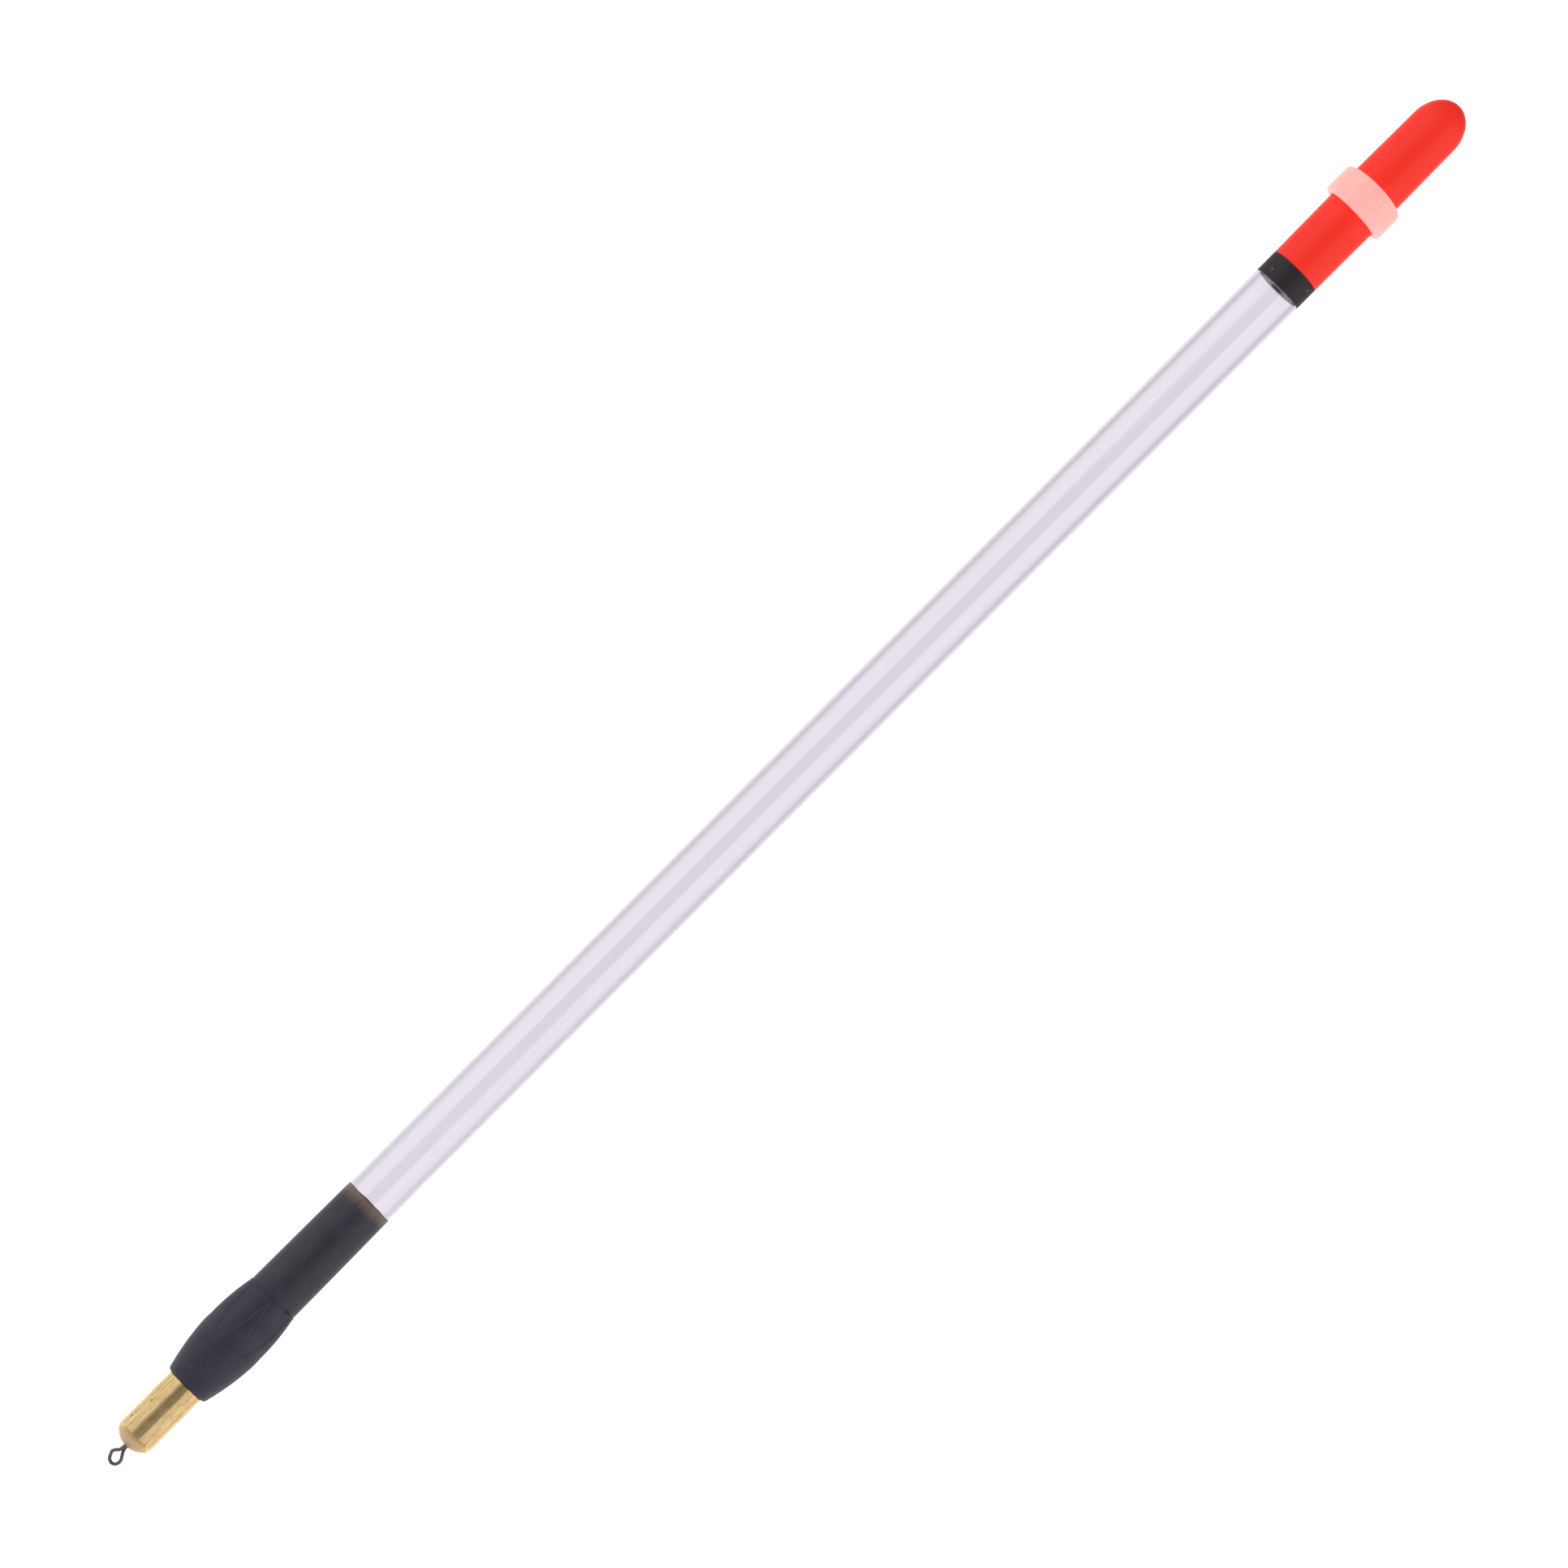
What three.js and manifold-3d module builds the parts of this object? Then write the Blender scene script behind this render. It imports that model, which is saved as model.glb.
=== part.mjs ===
// Clear-bodied bobber float with a swivelling line eye, a brass weight and a red sight tip.
// Millimetres, +Z towards the sight tip, origin at the middle of the line eye.
import * as THREE from "three";
import { mergeVertices } from "three/addons/utils/BufferGeometryUtils.js";
import Module from "manifold-3d";

const wasm = await Module();
wasm.setup();

// ---------------------------------------------------------------- driving dimensions

const FACETS = 36; // sides of every turned piece, with the same phase, so nested walls stay parallel

// Heights of the joints between the pieces.
const BRASS_BOTTOM = 2.0;
const BULB_BOTTOM = 14.3;
const BULB_RIM = 32.0;
const SLEEVE_TOP = 51.8;
const BAND_BOTTOM = 238.35;
const TIP_BOTTOM = 242.1;
const TIP_TOP = 276.1;
const RING_CENTRE = 256.05;

// Radii that meet each other.
const BRASS_RADIUS = 3.02;
const SPIGOT_RADIUS = 2.0;
const BULB_RADIUS = 4.98;
const TUBE_RADIUS_LOW = 3.89;
const TUBE_RADIUS_HIGH = 4.03;
const TUBE_WALL = 0.45;
const TIP_RADIUS = 4.065;
const TIP_BELLY_RADIUS = 4.165;
const TIP_BORE = 3.45;
const RING_RADIUS = 5.28;
const RING_HEIGHT = 5.2;

const WIRE_RADIUS = 0.25;
const WIRE_HOLE_RADIUS = 0.6; // the two strands of the wire turn in this hole
const GAP = 0.05; // radial play between pieces that are pushed into each other
const END_GAP = 0.05; // the same play between two faces that rest on each other
const FILM_GAP = 0.02; // a closer fit, where one wall grips another

// ---------------------------------------------------------------- helpers

const degrees = THREE.MathUtils.degToRad;

// One point of a turned outline: distance from the axis, height.
const at = (radius, height) => new THREE.Vector2(radius, height);

// Points on an arc, or an ellipse, of a turned outline. Angles run from the outward radius towards +Z.
function arc(centreRadius, centreHeight, radius, fromDegrees, toDegrees, steps, heightRadius = radius) {
  return Array.from({ length: steps + 1 }, (_, i) => {
    const angle = degrees(THREE.MathUtils.lerp(fromDegrees, toDegrees, i / steps));
    return at(centreRadius + radius * Math.cos(angle), centreHeight + heightRadius * Math.sin(angle));
  });
}

// A turned solid about the Z axis. The outline runs counterclockwise, outer wall going up first.
function turned(outline) {
  return new THREE.LatheGeometry(outline, FACETS).rotateX(Math.PI / 2);
}

// A turned ring or tube: the outline is closed on its first point.
function turnedRing(outline) {
  return turned([...outline, outline[0].clone()]);
}

// A closed three.js geometry as a solid for joining and cutting.
function solid(geometry) {
  const bare = geometry.clone();
  bare.deleteAttribute("normal");
  bare.deleteAttribute("uv");
  const merged = mergeVertices(bare, 1e-4);
  return new wasm.Manifold(
    new wasm.Mesh({
      numProp: 3,
      vertProperties: merged.attributes.position.array,
      triVerts: new Uint32Array(merged.index.array),
    }),
  );
}

// A solid back as a three.js geometry.
function geometryOf(body) {
  const mesh = body.getMesh();
  const geometry = new THREE.BufferGeometry();
  geometry.setAttribute("position", new THREE.BufferAttribute(mesh.vertProperties, 3));
  geometry.setIndex(new THREE.BufferAttribute(mesh.triVerts, 1));
  geometry.computeVertexNormals();
  return geometry;
}

const float = new THREE.Group();

function add(name, geometry, color, roughness, metalness) {
  const material = new THREE.MeshStandardMaterial({ color, roughness, metalness });
  const mesh = new THREE.Mesh(geometry, material);
  mesh.name = name;
  float.add(mesh);
  return mesh;
}

// ---------------------------------------------------------------- swivelling line eye

// The wire comes down one side of the shank, round the eye and back up the other side.
// Its strands pass each other in the shank, so one lies in front and the other behind.
const STRAND_X = 0.16;
const STRAND_Y = 0.19;
const SHANK_TOP = 5.4;
const EYE_CENTRELINE = [
  [STRAND_X, STRAND_Y, SHANK_TOP],
  [STRAND_X, STRAND_Y, 1.7],
  [0.34, 0.15, 1.12],
  [0.68, 0.08, 0.58],
  [0.94, 0.03, 0.1],
  [0.97, 0, -0.28],
  [0.74, 0, -0.86],
  [0.14, 0, -1.1],
  [-0.42, 0, -0.82],
  [-0.7, 0, -0.35],
  [-0.89, -0.03, 0.18],
  [-0.66, -0.08, 0.66],
  [-0.3, -0.15, 1.06],
  [-STRAND_X, -STRAND_Y, 1.7],
  [-STRAND_X, -STRAND_Y, SHANK_TOP],
].map(([x, y, z]) => new THREE.Vector3(x, y, z));

// Each half is swept by itself, so that neither touches itself in the shank. The halves share a short stretch.
function wireAlong(points, steps) {
  const section = new THREE.Shape().absarc(0, 0, WIRE_RADIUS, 0, 2 * Math.PI, false);
  const extrudePath = new THREE.CatmullRomCurve3(points, false, "centripetal");
  return new THREE.ExtrudeGeometry(section, { steps, curveSegments: 6, extrudePath, bevelEnabled: false });
}

// The upset head that the barrel holds.
const HEAD_RADIUS = 0.8;
const HEAD_BOTTOM = 5.2;
const HEAD_TOP = 5.8;
const wireHead = turned([
  at(0, HEAD_BOTTOM),
  at(HEAD_RADIUS, HEAD_BOTTOM),
  at(HEAD_RADIUS, HEAD_TOP - 0.2),
  at(HEAD_RADIUS - 0.2, HEAD_TOP),
  at(0, HEAD_TOP),
]);

const eyeBottom = 7;
const lineEye = solid(wireAlong(EYE_CENTRELINE.slice(0, eyeBottom + 1), 28))
  .add(solid(wireAlong(EYE_CENTRELINE.slice(eyeBottom - 1), 28)))
  .add(solid(wireHead));
add("line_eye", geometryOf(lineEye), 0x8d8487, 0.3, 1);

// The swivel's barrel, pressed into the brass. Its floor holds the head and its top is open.
const BARREL_RADIUS = 1.15;
const BARREL_BOTTOM = 4.45;
const BARREL_TOP = 9.5;
const BARREL_FLOOR = 0.65;
const BARREL_BORE = 0.95;
add(
  "swivel_barrel",
  turnedRing([
    at(WIRE_HOLE_RADIUS, BARREL_BOTTOM),
    at(BARREL_RADIUS, BARREL_BOTTOM),
    at(BARREL_RADIUS, BARREL_TOP),
    at(BARREL_BORE, BARREL_TOP),
    at(BARREL_BORE, BARREL_BOTTOM + BARREL_FLOOR),
    at(WIRE_HOLE_RADIUS, BARREL_BOTTOM + BARREL_FLOOR),
  ]),
  0xa39a8a,
  0.35,
  1,
);

// ---------------------------------------------------------------- brass weight

// A turned bar with a domed nose and a rounded shoulder, and a narrower spigot that goes up into the bulb.
const NOSE_SPHERE = 3.37;
const NOSE_EDGE_RADIUS = 2.63; // the nose meets the shoulder here in a faint edge
const SHOULDER_ROUND = 1.1;
const SHOULDER_HEIGHT = 2.2; // the shoulder's round ends this far above the nose
const SPIGOT_TOP = 24.0;
const SPIGOT_GROOVE = 0.25;
const SPIGOT_GROOVES = [17.2, 19.7, 22.2];

const noseAngle = (radius) => THREE.MathUtils.radToDeg(-Math.acos(radius / NOSE_SPHERE));
const shoulderAngle = (radius) =>
  THREE.MathUtils.radToDeg(-Math.acos((radius - BRASS_RADIUS + SHOULDER_ROUND) / SHOULDER_ROUND));
const grooves = SPIGOT_GROOVES.flatMap((height) => [
  at(SPIGOT_RADIUS, height - SPIGOT_GROOVE),
  at(SPIGOT_RADIUS - SPIGOT_GROOVE, height),
  at(SPIGOT_RADIUS, height + SPIGOT_GROOVE),
]);
add(
  "brass_weight",
  turnedRing([
    ...arc(0, BRASS_BOTTOM + NOSE_SPHERE, NOSE_SPHERE, noseAngle(WIRE_HOLE_RADIUS), noseAngle(NOSE_EDGE_RADIUS), 6),
    ...arc(
      BRASS_RADIUS - SHOULDER_ROUND,
      BRASS_BOTTOM + SHOULDER_HEIGHT,
      SHOULDER_ROUND,
      shoulderAngle(NOSE_EDGE_RADIUS),
      0,
      4,
    ),
    at(BRASS_RADIUS, BULB_BOTTOM - END_GAP),
    at(SPIGOT_RADIUS, BULB_BOTTOM - END_GAP),
    ...grooves,
    at(SPIGOT_RADIUS, SPIGOT_TOP),
    at(BARREL_RADIUS + GAP, SPIGOT_TOP),
    at(BARREL_RADIUS + GAP, BARREL_BOTTOM - END_GAP),
    at(WIRE_HOLE_RADIUS, BARREL_BOTTOM - END_GAP),
  ]),
  0xd9b97a,
  0.35,
  1,
);

// ---------------------------------------------------------------- bulb

// A soft moulded holder. Two long arcs meet at its widest height, and the lower corner is rounded.
const BULB_WIDEST = 25.0;
const BULB_LOWER_ARC = 39;
const BULB_UPPER_ARC = 35;
const BULB_CORNER = 0.7;
const BULB_SOCKET_TOP = 24.2;
const BULB_WEB_TOP = 26.2;
const BULB_VENT_RADIUS = 0.8;
const SLEEVE_SEAT_RADIUS = 4.13;

function bulbRadius(height) {
  const bend = height < BULB_WIDEST ? BULB_LOWER_ARC : BULB_UPPER_ARC;
  return BULB_RADIUS - bend + Math.sqrt(bend ** 2 - (height - BULB_WIDEST) ** 2);
}

const BULB_OUTER_STEPS = 12;
const cornerTop = BULB_BOTTOM + BULB_CORNER;
const bulbSide = Array.from({ length: BULB_OUTER_STEPS }, (_, i) => {
  const height = THREE.MathUtils.lerp(cornerTop, BULB_RIM, (i + 1) / BULB_OUTER_STEPS);
  return at(bulbRadius(height), height);
});
add(
  "base_bulb",
  turnedRing([
    at(SPIGOT_RADIUS + GAP, BULB_BOTTOM),
    ...arc(bulbRadius(cornerTop) - BULB_CORNER, cornerTop, BULB_CORNER, -90, 0, 4),
    ...bulbSide,
    at(SLEEVE_SEAT_RADIUS + GAP, BULB_RIM),
    at(SLEEVE_SEAT_RADIUS + GAP, BULB_WEB_TOP),
    at(BULB_VENT_RADIUS, BULB_WEB_TOP),
    at(BULB_VENT_RADIUS, BULB_SOCKET_TOP),
    at(SPIGOT_RADIUS + GAP, BULB_SOCKET_TOP),
  ]),
  0x3b3944,
  0.7,
  0,
);

// ---------------------------------------------------------------- sleeve and lower plug

// The sleeve grips the tube's lower end. Its wall thins to a soft edge at the top.
const SLEEVE_BOTTOM = BULB_WEB_TOP + END_GAP;
const SLEEVE_EDGE_WALL = 0.06;
const SLEEVE_TAPER = [at(4.09, 38.0), at(4.05, 43.5)];
const sleeveBore = TUBE_RADIUS_LOW + FILM_GAP;
add(
  "lower_sleeve",
  turnedRing([
    at(sleeveBore, SLEEVE_BOTTOM),
    at(SLEEVE_SEAT_RADIUS, SLEEVE_BOTTOM),
    at(SLEEVE_SEAT_RADIUS, BULB_RIM + END_GAP),
    ...SLEEVE_TAPER,
    at(sleeveBore + SLEEVE_EDGE_WALL, SLEEVE_TOP),
    at(sleeveBore, SLEEVE_TOP),
  ]),
  0x38363f,
  0.65,
  0,
);

// A cup that closes the tube's lower end, open downwards.
const TUBE_BOTTOM = SLEEVE_BOTTOM + 0.6; // the tube stops a little short of the bulb's web
const LOWER_PLUG_TOP = 34.0;
const PLUG_WALL = 0.8;
const lowerPlugRadius = TUBE_RADIUS_LOW - TUBE_WALL - GAP;
add(
  "lower_plug",
  turned([
    at(0, LOWER_PLUG_TOP - PLUG_WALL),
    at(lowerPlugRadius - PLUG_WALL, LOWER_PLUG_TOP - PLUG_WALL),
    at(lowerPlugRadius - PLUG_WALL, TUBE_BOTTOM),
    at(lowerPlugRadius, TUBE_BOTTOM),
    at(lowerPlugRadius, LOWER_PLUG_TOP),
    at(0, LOWER_PLUG_TOP),
  ]),
  0x2c2b31,
  0.6,
  0,
);

// ---------------------------------------------------------------- clear tube

// The tube widens very slightly towards the tip, and its top end has a shallow seat for the band.
const BAND_SEAT_DEPTH = 0.05;
const TUBE_TAPER_BOTTOM = SLEEVE_TOP + 0.1;
const BORE_TAPER_TOP = BAND_BOTTOM - 2; // the bore is straight where the top plug sits
const TUBE_TOP = TIP_BOTTOM - END_GAP;
const bandSeatRadius = TUBE_RADIUS_HIGH - BAND_SEAT_DEPTH;
add(
  "float_tube",
  turnedRing([
    at(TUBE_RADIUS_LOW - TUBE_WALL, TUBE_BOTTOM),
    at(TUBE_RADIUS_LOW, TUBE_BOTTOM),
    at(TUBE_RADIUS_LOW, TUBE_TAPER_BOTTOM),
    at(TUBE_RADIUS_HIGH, BAND_BOTTOM - END_GAP),
    at(bandSeatRadius, BAND_BOTTOM - END_GAP),
    at(bandSeatRadius, TUBE_TOP),
    at(TUBE_RADIUS_HIGH - TUBE_WALL, TUBE_TOP),
    at(TUBE_RADIUS_HIGH - TUBE_WALL, BORE_TAPER_TOP),
  ]),
  0xe6e2ee,
  0.1,
  0,
);

// ---------------------------------------------------------------- top plug, band and sight tip

// The plug closes the tube's top end and carries the tip on its upper spigot. It is a cup, open upwards.
const TIP_SPIGOT_TOP = 250.0;
const TIP_SPIGOT_CHAMFER = 0.4;
const PLUG_FLANGE_TOP = TUBE_TOP - 0.3;
const PLUG_FLOOR = 1;
const topPlugRadius = TUBE_RADIUS_HIGH - TUBE_WALL - GAP;
const tipSpigotRadius = TIP_BORE - GAP;
add(
  "top_plug",
  turned([
    at(0, BAND_BOTTOM),
    at(topPlugRadius, BAND_BOTTOM),
    at(topPlugRadius, PLUG_FLANGE_TOP),
    at(tipSpigotRadius, PLUG_FLANGE_TOP),
    at(tipSpigotRadius, TIP_SPIGOT_TOP - TIP_SPIGOT_CHAMFER),
    at(tipSpigotRadius - TIP_SPIGOT_CHAMFER, TIP_SPIGOT_TOP),
    at(tipSpigotRadius - PLUG_WALL, TIP_SPIGOT_TOP),
    at(tipSpigotRadius - PLUG_WALL, BAND_BOTTOM + PLUG_FLOOR),
    at(0, BAND_BOTTOM + PLUG_FLOOR),
  ]),
  0x4a423f,
  0.5,
  0,
);

// A film-thin black band in the tube's seat.
const BAND_RADIUS = 4.06;
const bandBore = bandSeatRadius + FILM_GAP;
add(
  "top_band",
  turnedRing([
    at(bandBore, BAND_BOTTOM),
    at(BAND_RADIUS, BAND_BOTTOM),
    at(BAND_RADIUS, TUBE_TOP),
    at(bandBore, TUBE_TOP),
  ]),
  0x322c33,
  0.7,
  0,
);

// The sight tip is a hollow cap with a faint belly under the ring and a bullet-shaped end, open at the bottom.
const TIP_SWELL = [at(4.125, 249.0), at(TIP_BELLY_RADIUS, 258.0), at(4.09, 265.0)];
const DOME_BOTTOM = 270.8;
const DOME_RADIUS = 4.045;
const TIP_WALL = 0.6;
const domeHeight = TIP_TOP - DOME_BOTTOM;
const domeBore = DOME_RADIUS - TIP_WALL;
add(
  "sight_tip",
  turned([
    ...arc(0, DOME_BOTTOM, domeBore, 90, 0, 6, domeHeight - TIP_WALL),
    at(TIP_BORE, TIP_BOTTOM),
    at(TIP_RADIUS, TIP_BOTTOM),
    ...TIP_SWELL,
    ...arc(0, DOME_BOTTOM, DOME_RADIUS, 0, 90, 9, domeHeight),
  ]),
  0xf23a2b,
  0.55,
  0,
);

// ---------------------------------------------------------------- silicone ring

// A thick band of silicone with rounded edges. It slides along the tip.
const RING_PLAY = 0.06;
const RING_BORE = TIP_BELLY_RADIUS + RING_PLAY;
const RING_ROUND = 0.45;
const ringOuterCorner = RING_RADIUS - RING_ROUND;
const ringTopCorner = RING_CENTRE + RING_HEIGHT / 2 - RING_ROUND;
const ringBottomCorner = RING_CENTRE - RING_HEIGHT / 2 + RING_ROUND;
add(
  "tip_ring",
  turnedRing([
    at(RING_BORE, RING_CENTRE - RING_HEIGHT / 2),
    ...arc(ringOuterCorner, ringBottomCorner, RING_ROUND, -90, 0, 3),
    ...arc(ringOuterCorner, ringTopCorner, RING_ROUND, 0, 90, 3),
    at(RING_BORE, RING_CENTRE + RING_HEIGHT / 2),
  ]),
  0xf6b9b1,
  0.45,
  0,
);

export default float;
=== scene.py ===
# %% [markdown]
# # A clear-bodied bobber float
# A slim float for still-water fishing: a long clear tube that can hardly be seen from below, a brass
# weight and a wire eye at the foot, and a red tip with a silicone ring at the top. Almost every piece
# is turned or moulded round one axis, so most of this lesson is about outlines carried round that axis.
#
# The rigid model comes in first. It says where every piece is, so each new surface takes its main
# heights and radii from it, and only small details are given here.

import math

import bpy
import numpy as np
from mathutils import Matrix, Vector


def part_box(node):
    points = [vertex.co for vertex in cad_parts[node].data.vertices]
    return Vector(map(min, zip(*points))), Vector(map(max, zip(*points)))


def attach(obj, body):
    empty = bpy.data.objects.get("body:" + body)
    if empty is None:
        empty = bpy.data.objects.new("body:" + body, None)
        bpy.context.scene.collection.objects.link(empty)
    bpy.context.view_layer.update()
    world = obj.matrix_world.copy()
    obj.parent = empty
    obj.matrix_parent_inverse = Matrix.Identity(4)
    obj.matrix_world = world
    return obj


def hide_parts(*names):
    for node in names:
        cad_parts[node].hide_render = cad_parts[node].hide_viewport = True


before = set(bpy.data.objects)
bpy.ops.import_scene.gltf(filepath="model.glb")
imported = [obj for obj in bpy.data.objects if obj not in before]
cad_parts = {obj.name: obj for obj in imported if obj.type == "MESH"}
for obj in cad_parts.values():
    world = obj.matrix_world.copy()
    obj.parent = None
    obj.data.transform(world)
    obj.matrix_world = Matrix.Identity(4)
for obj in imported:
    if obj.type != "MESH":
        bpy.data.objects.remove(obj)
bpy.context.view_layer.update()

# %% [markdown]
# Everything on the float is a few millimetres across, so the outlines are written in millimetres and
# turned to metres once, when a mesh is made. Heights run up the float from the middle of the wire eye.

# %% Sizes that the frame gives
MM = 0.001


def span(node):
    """Lowest height, highest height and largest radius of a CAD node, in millimetres."""
    low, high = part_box(node)
    return low.z / MM, high.z / MM, high.x / MM


BRASS_BOTTOM, SPIGOT_TOP, BRASS_RADIUS = span("brass_weight")
BULB_BOTTOM, BULB_RIM, BULB_RADIUS = span("base_bulb")
SLEEVE_BOTTOM, SLEEVE_TOP, SLEEVE_RADIUS = span("lower_sleeve")
TUBE_BOTTOM, TUBE_TOP, TUBE_RADIUS = span("float_tube")
PLUG_BOTTOM, PLUG_TOP, PLUG_RADIUS = span("top_plug")
BAND_BOTTOM, BAND_TOP, BAND_RADIUS = span("top_band")
TIP_BOTTOM, TIP_TOP, TIP_RADIUS = span("sight_tip")
RING_BOTTOM, RING_TOP, RING_RADIUS = span("tip_ring")
print(f"float {TIP_TOP:.1f} mm tall, tube {2 * TUBE_RADIUS:.2f} mm thick")

# %% [markdown]
# ## Outlines
# A turned piece is one closed outline of (radius, height) points. Nothing real has a perfectly sharp
# edge, so every corner gets its own small rounding; that thin strip is what catches the light. A short
# parabola does the job and needs no centre to be worked out. Long stretches are then cut into steps, so
# that smooth shading stays flat on them and relief has points to move.


# %% Outline helpers
def arc(centre_radius, centre_height, radius, start, stop, steps, height_radius=None):
    """Points on an arc: the centre plus the radius times the cosine and sine of an angle in degrees."""
    angle = np.radians(np.linspace(start, stop, steps + 1))
    tall = radius if height_radius is None else height_radius
    return np.column_stack([centre_radius + radius * np.cos(angle), centre_height + tall * np.sin(angle)])


def rounded(corners, steps=5):
    """Rows of (radius, height, rounding) to a closed outline. Each corner p gives way to the parabola
    (1-t)^2 a + 2t(1-t) p + t^2 c, where a and c lie on its two sides, one rounding away from it."""
    rows = np.array(corners, float)
    corner = rows[:, :2]
    back = np.roll(corner, 1, axis=0) - corner
    ahead = np.roll(corner, -1, axis=0) - corner
    share_back = np.minimum(rows[:, 2] / np.linalg.norm(back, axis=1), 0.45)[:, None]
    share_ahead = np.minimum(rows[:, 2] / np.linalg.norm(ahead, axis=1), 0.45)[:, None]
    t = np.linspace(0, 1, steps + 1)[None, :, None]
    start = (corner + share_back * back)[:, None]
    stop = (corner + share_ahead * ahead)[:, None]
    return ((1 - t) ** 2 * start + 2 * t * (1 - t) * corner[:, None] + t**2 * stop).reshape(-1, 2)


def stepped(outline, step, closed=True):
    """The outline with its long stretches cut evenly into steps no longer than step."""
    starts = outline if closed else outline[:-1]
    stops = np.roll(outline, -1, axis=0) if closed else outline[1:]
    length = np.linalg.norm(stops - starts, axis=1)
    count = np.maximum(np.ceil(length / step).astype(int), 1)
    index = np.repeat(np.arange(len(starts)), count)
    within = np.arange(len(index)) - np.repeat(np.cumsum(count) - count, count)
    share = (within / count[index])[:, None]
    cut = starts[index] * (1 - share) + stops[index] * share
    return cut if closed else np.vstack([cut, outline[-1:]])


def smooth_step(x):
    """0 below 0, 1 above 1, and 3x^2 - 2x^3 between."""
    x = np.clip(x, 0, 1)
    return x * x * (3 - 2 * x)


# %% [markdown]
# ## From outline to mesh
# The outline is one parameter of the surface and the azimuth round the axis is the other. Azimuth 0
# faces the front, which is -Y, and 90 degrees is +X. Both are whole arrays, so a relief can move
# thousands of points at once. A bored piece closes on itself like a tyre; a piece that reaches the
# axis ends in a single point there, so that its pole is closed without a hole.


# %% Mesh helpers
def skin(rings, poles=None):
    """Quads over rows of rings. Without poles the last row joins the first; with two poles each end
    closes on a point."""
    rows, columns = rings.shape[:2]
    i = np.arange(rows if poles is None else rows - 1)[:, None]
    j = np.arange(columns)[None, :]
    above = (i + 1) % rows
    beside = (j + 1) % columns
    corners = [i * columns + j, i * columns + beside, above * columns + beside, above * columns + j]
    quads = np.stack(corners, axis=-1).reshape(-1, 4).tolist()
    vertices = rings.reshape(-1, 3)
    if poles is None:
        return vertices, quads
    first = np.arange(columns)
    following = (first + 1) % columns
    last = (rows - 1) * columns
    bottom = np.column_stack([np.full(columns, len(vertices)), following, first])
    top = np.column_stack([last + first, last + following, np.full(columns, len(vertices) + 1)])
    return np.vstack([vertices, poles]), quads + bottom.tolist() + top.tolist()


def turned(outline, around, relief=None):
    """The point (r, z) of the outline at azimuth a is (r sin a, -r cos a, z), after relief(a, z, r)
    has changed r and z. An outline that starts and ends on the axis is closed with poles."""
    has_poles = outline[0, 0] < 1e-6 and outline[-1, 0] < 1e-6
    rows = outline[1:-1] if has_poles else outline
    azimuth = (np.arange(around) * 2 * np.pi / around)[None, :]
    radius = np.repeat(rows[:, :1], around, axis=1)
    height = np.repeat(rows[:, 1:], around, axis=1)
    if relief is not None:
        radius, height = relief(azimuth, height, radius)
    rings = np.stack([radius * np.sin(azimuth), -radius * np.cos(azimuth), height], axis=-1)
    poles = [[0, 0, outline[0, 1]], [0, 0, outline[-1, 1]]] if has_poles else None
    return skin(rings, poles)


def make_piece(name, surface):
    """A smooth-shaded object from vertices in millimetres and faces."""
    vertices, faces = surface
    mesh = bpy.data.meshes.new(name)
    mesh.from_pydata((vertices * MM).tolist(), [], faces)
    mesh.polygons.foreach_set("use_smooth", np.ones(len(mesh.polygons), dtype=bool))
    mesh.update()
    piece = bpy.data.objects.new(name, mesh)
    bpy.context.scene.collection.objects.link(piece)
    print(f"{name}: {len(vertices)} points, {len(faces)} faces")
    return piece


def add_mark(piece, mark):
    """A number on each point, from a function of azimuth in degrees, height and radius in millimetres."""
    points = np.zeros(len(piece.data.vertices) * 3)
    piece.data.vertices.foreach_get("co", points)
    x, y, z = points.reshape(-1, 3).T / MM
    layer = piece.data.attributes.new("mark", "FLOAT", "POINT")
    layer.data.foreach_set("value", mark(np.degrees(np.arctan2(x, -y)), z, np.hypot(x, y)))


def settle(piece, material, body, slot, *nodes):
    """Gives the piece its finish, hangs it on its body and hides the CAD nodes it stands for."""
    piece.data.materials.append(material)
    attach(piece, body)
    if nodes:
        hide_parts(*nodes)


# %% [markdown]
# ## Finishes
# Every finish is a small node tree on one Principled shader. The patterns read Object coordinates, in
# metres, so a scale is one over a real size: grain of 0.12 mm needs a scale of 1 / (0.12 mm). Stretching
# the coordinates turns the same noise into drawing lines along the float or turning marks round it.


# %% Node helpers
def linear(hex_colour):
    """An sRGB hex colour as linear red, green, blue and alpha."""
    value = np.array([int(hex_colour[i : i + 2], 16) for i in (1, 3, 5)]) / 255
    straight = np.where(value <= 0.04045, value / 12.92, ((value + 0.055) / 1.055) ** 2.4)
    return (*straight.tolist(), 1.0)


def add(tree, kind, settings=None, inputs=None):
    """Adds a node. Settings are its own properties; an input is linked if it is a socket and set if not."""
    node = tree.nodes.new(kind)
    for key, value in (settings or {}).items():
        setattr(node, key, value)
    for key, value in (inputs or {}).items():
        if isinstance(value, bpy.types.NodeSocket):
            tree.links.new(value, node.inputs[key])
        else:
            node.inputs[key].default_value = value
    return node


def finish(name):
    """A new material with a Principled shader, and the float's own coordinates."""
    material = bpy.data.materials.new(name)
    material.use_nodes = True
    tree = material.node_tree
    tree.nodes.clear()
    shader = add(tree, "ShaderNodeBsdfPrincipled")
    add(tree, "ShaderNodeOutputMaterial", {}, {"Surface": shader.outputs[0]})
    place = add(tree, "ShaderNodeTexCoord").outputs["Object"]
    return material, tree, shader, place


def per(size_mm):
    """The pattern scale that gives cells of this size."""
    return 1 / (size_mm * MM)


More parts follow.
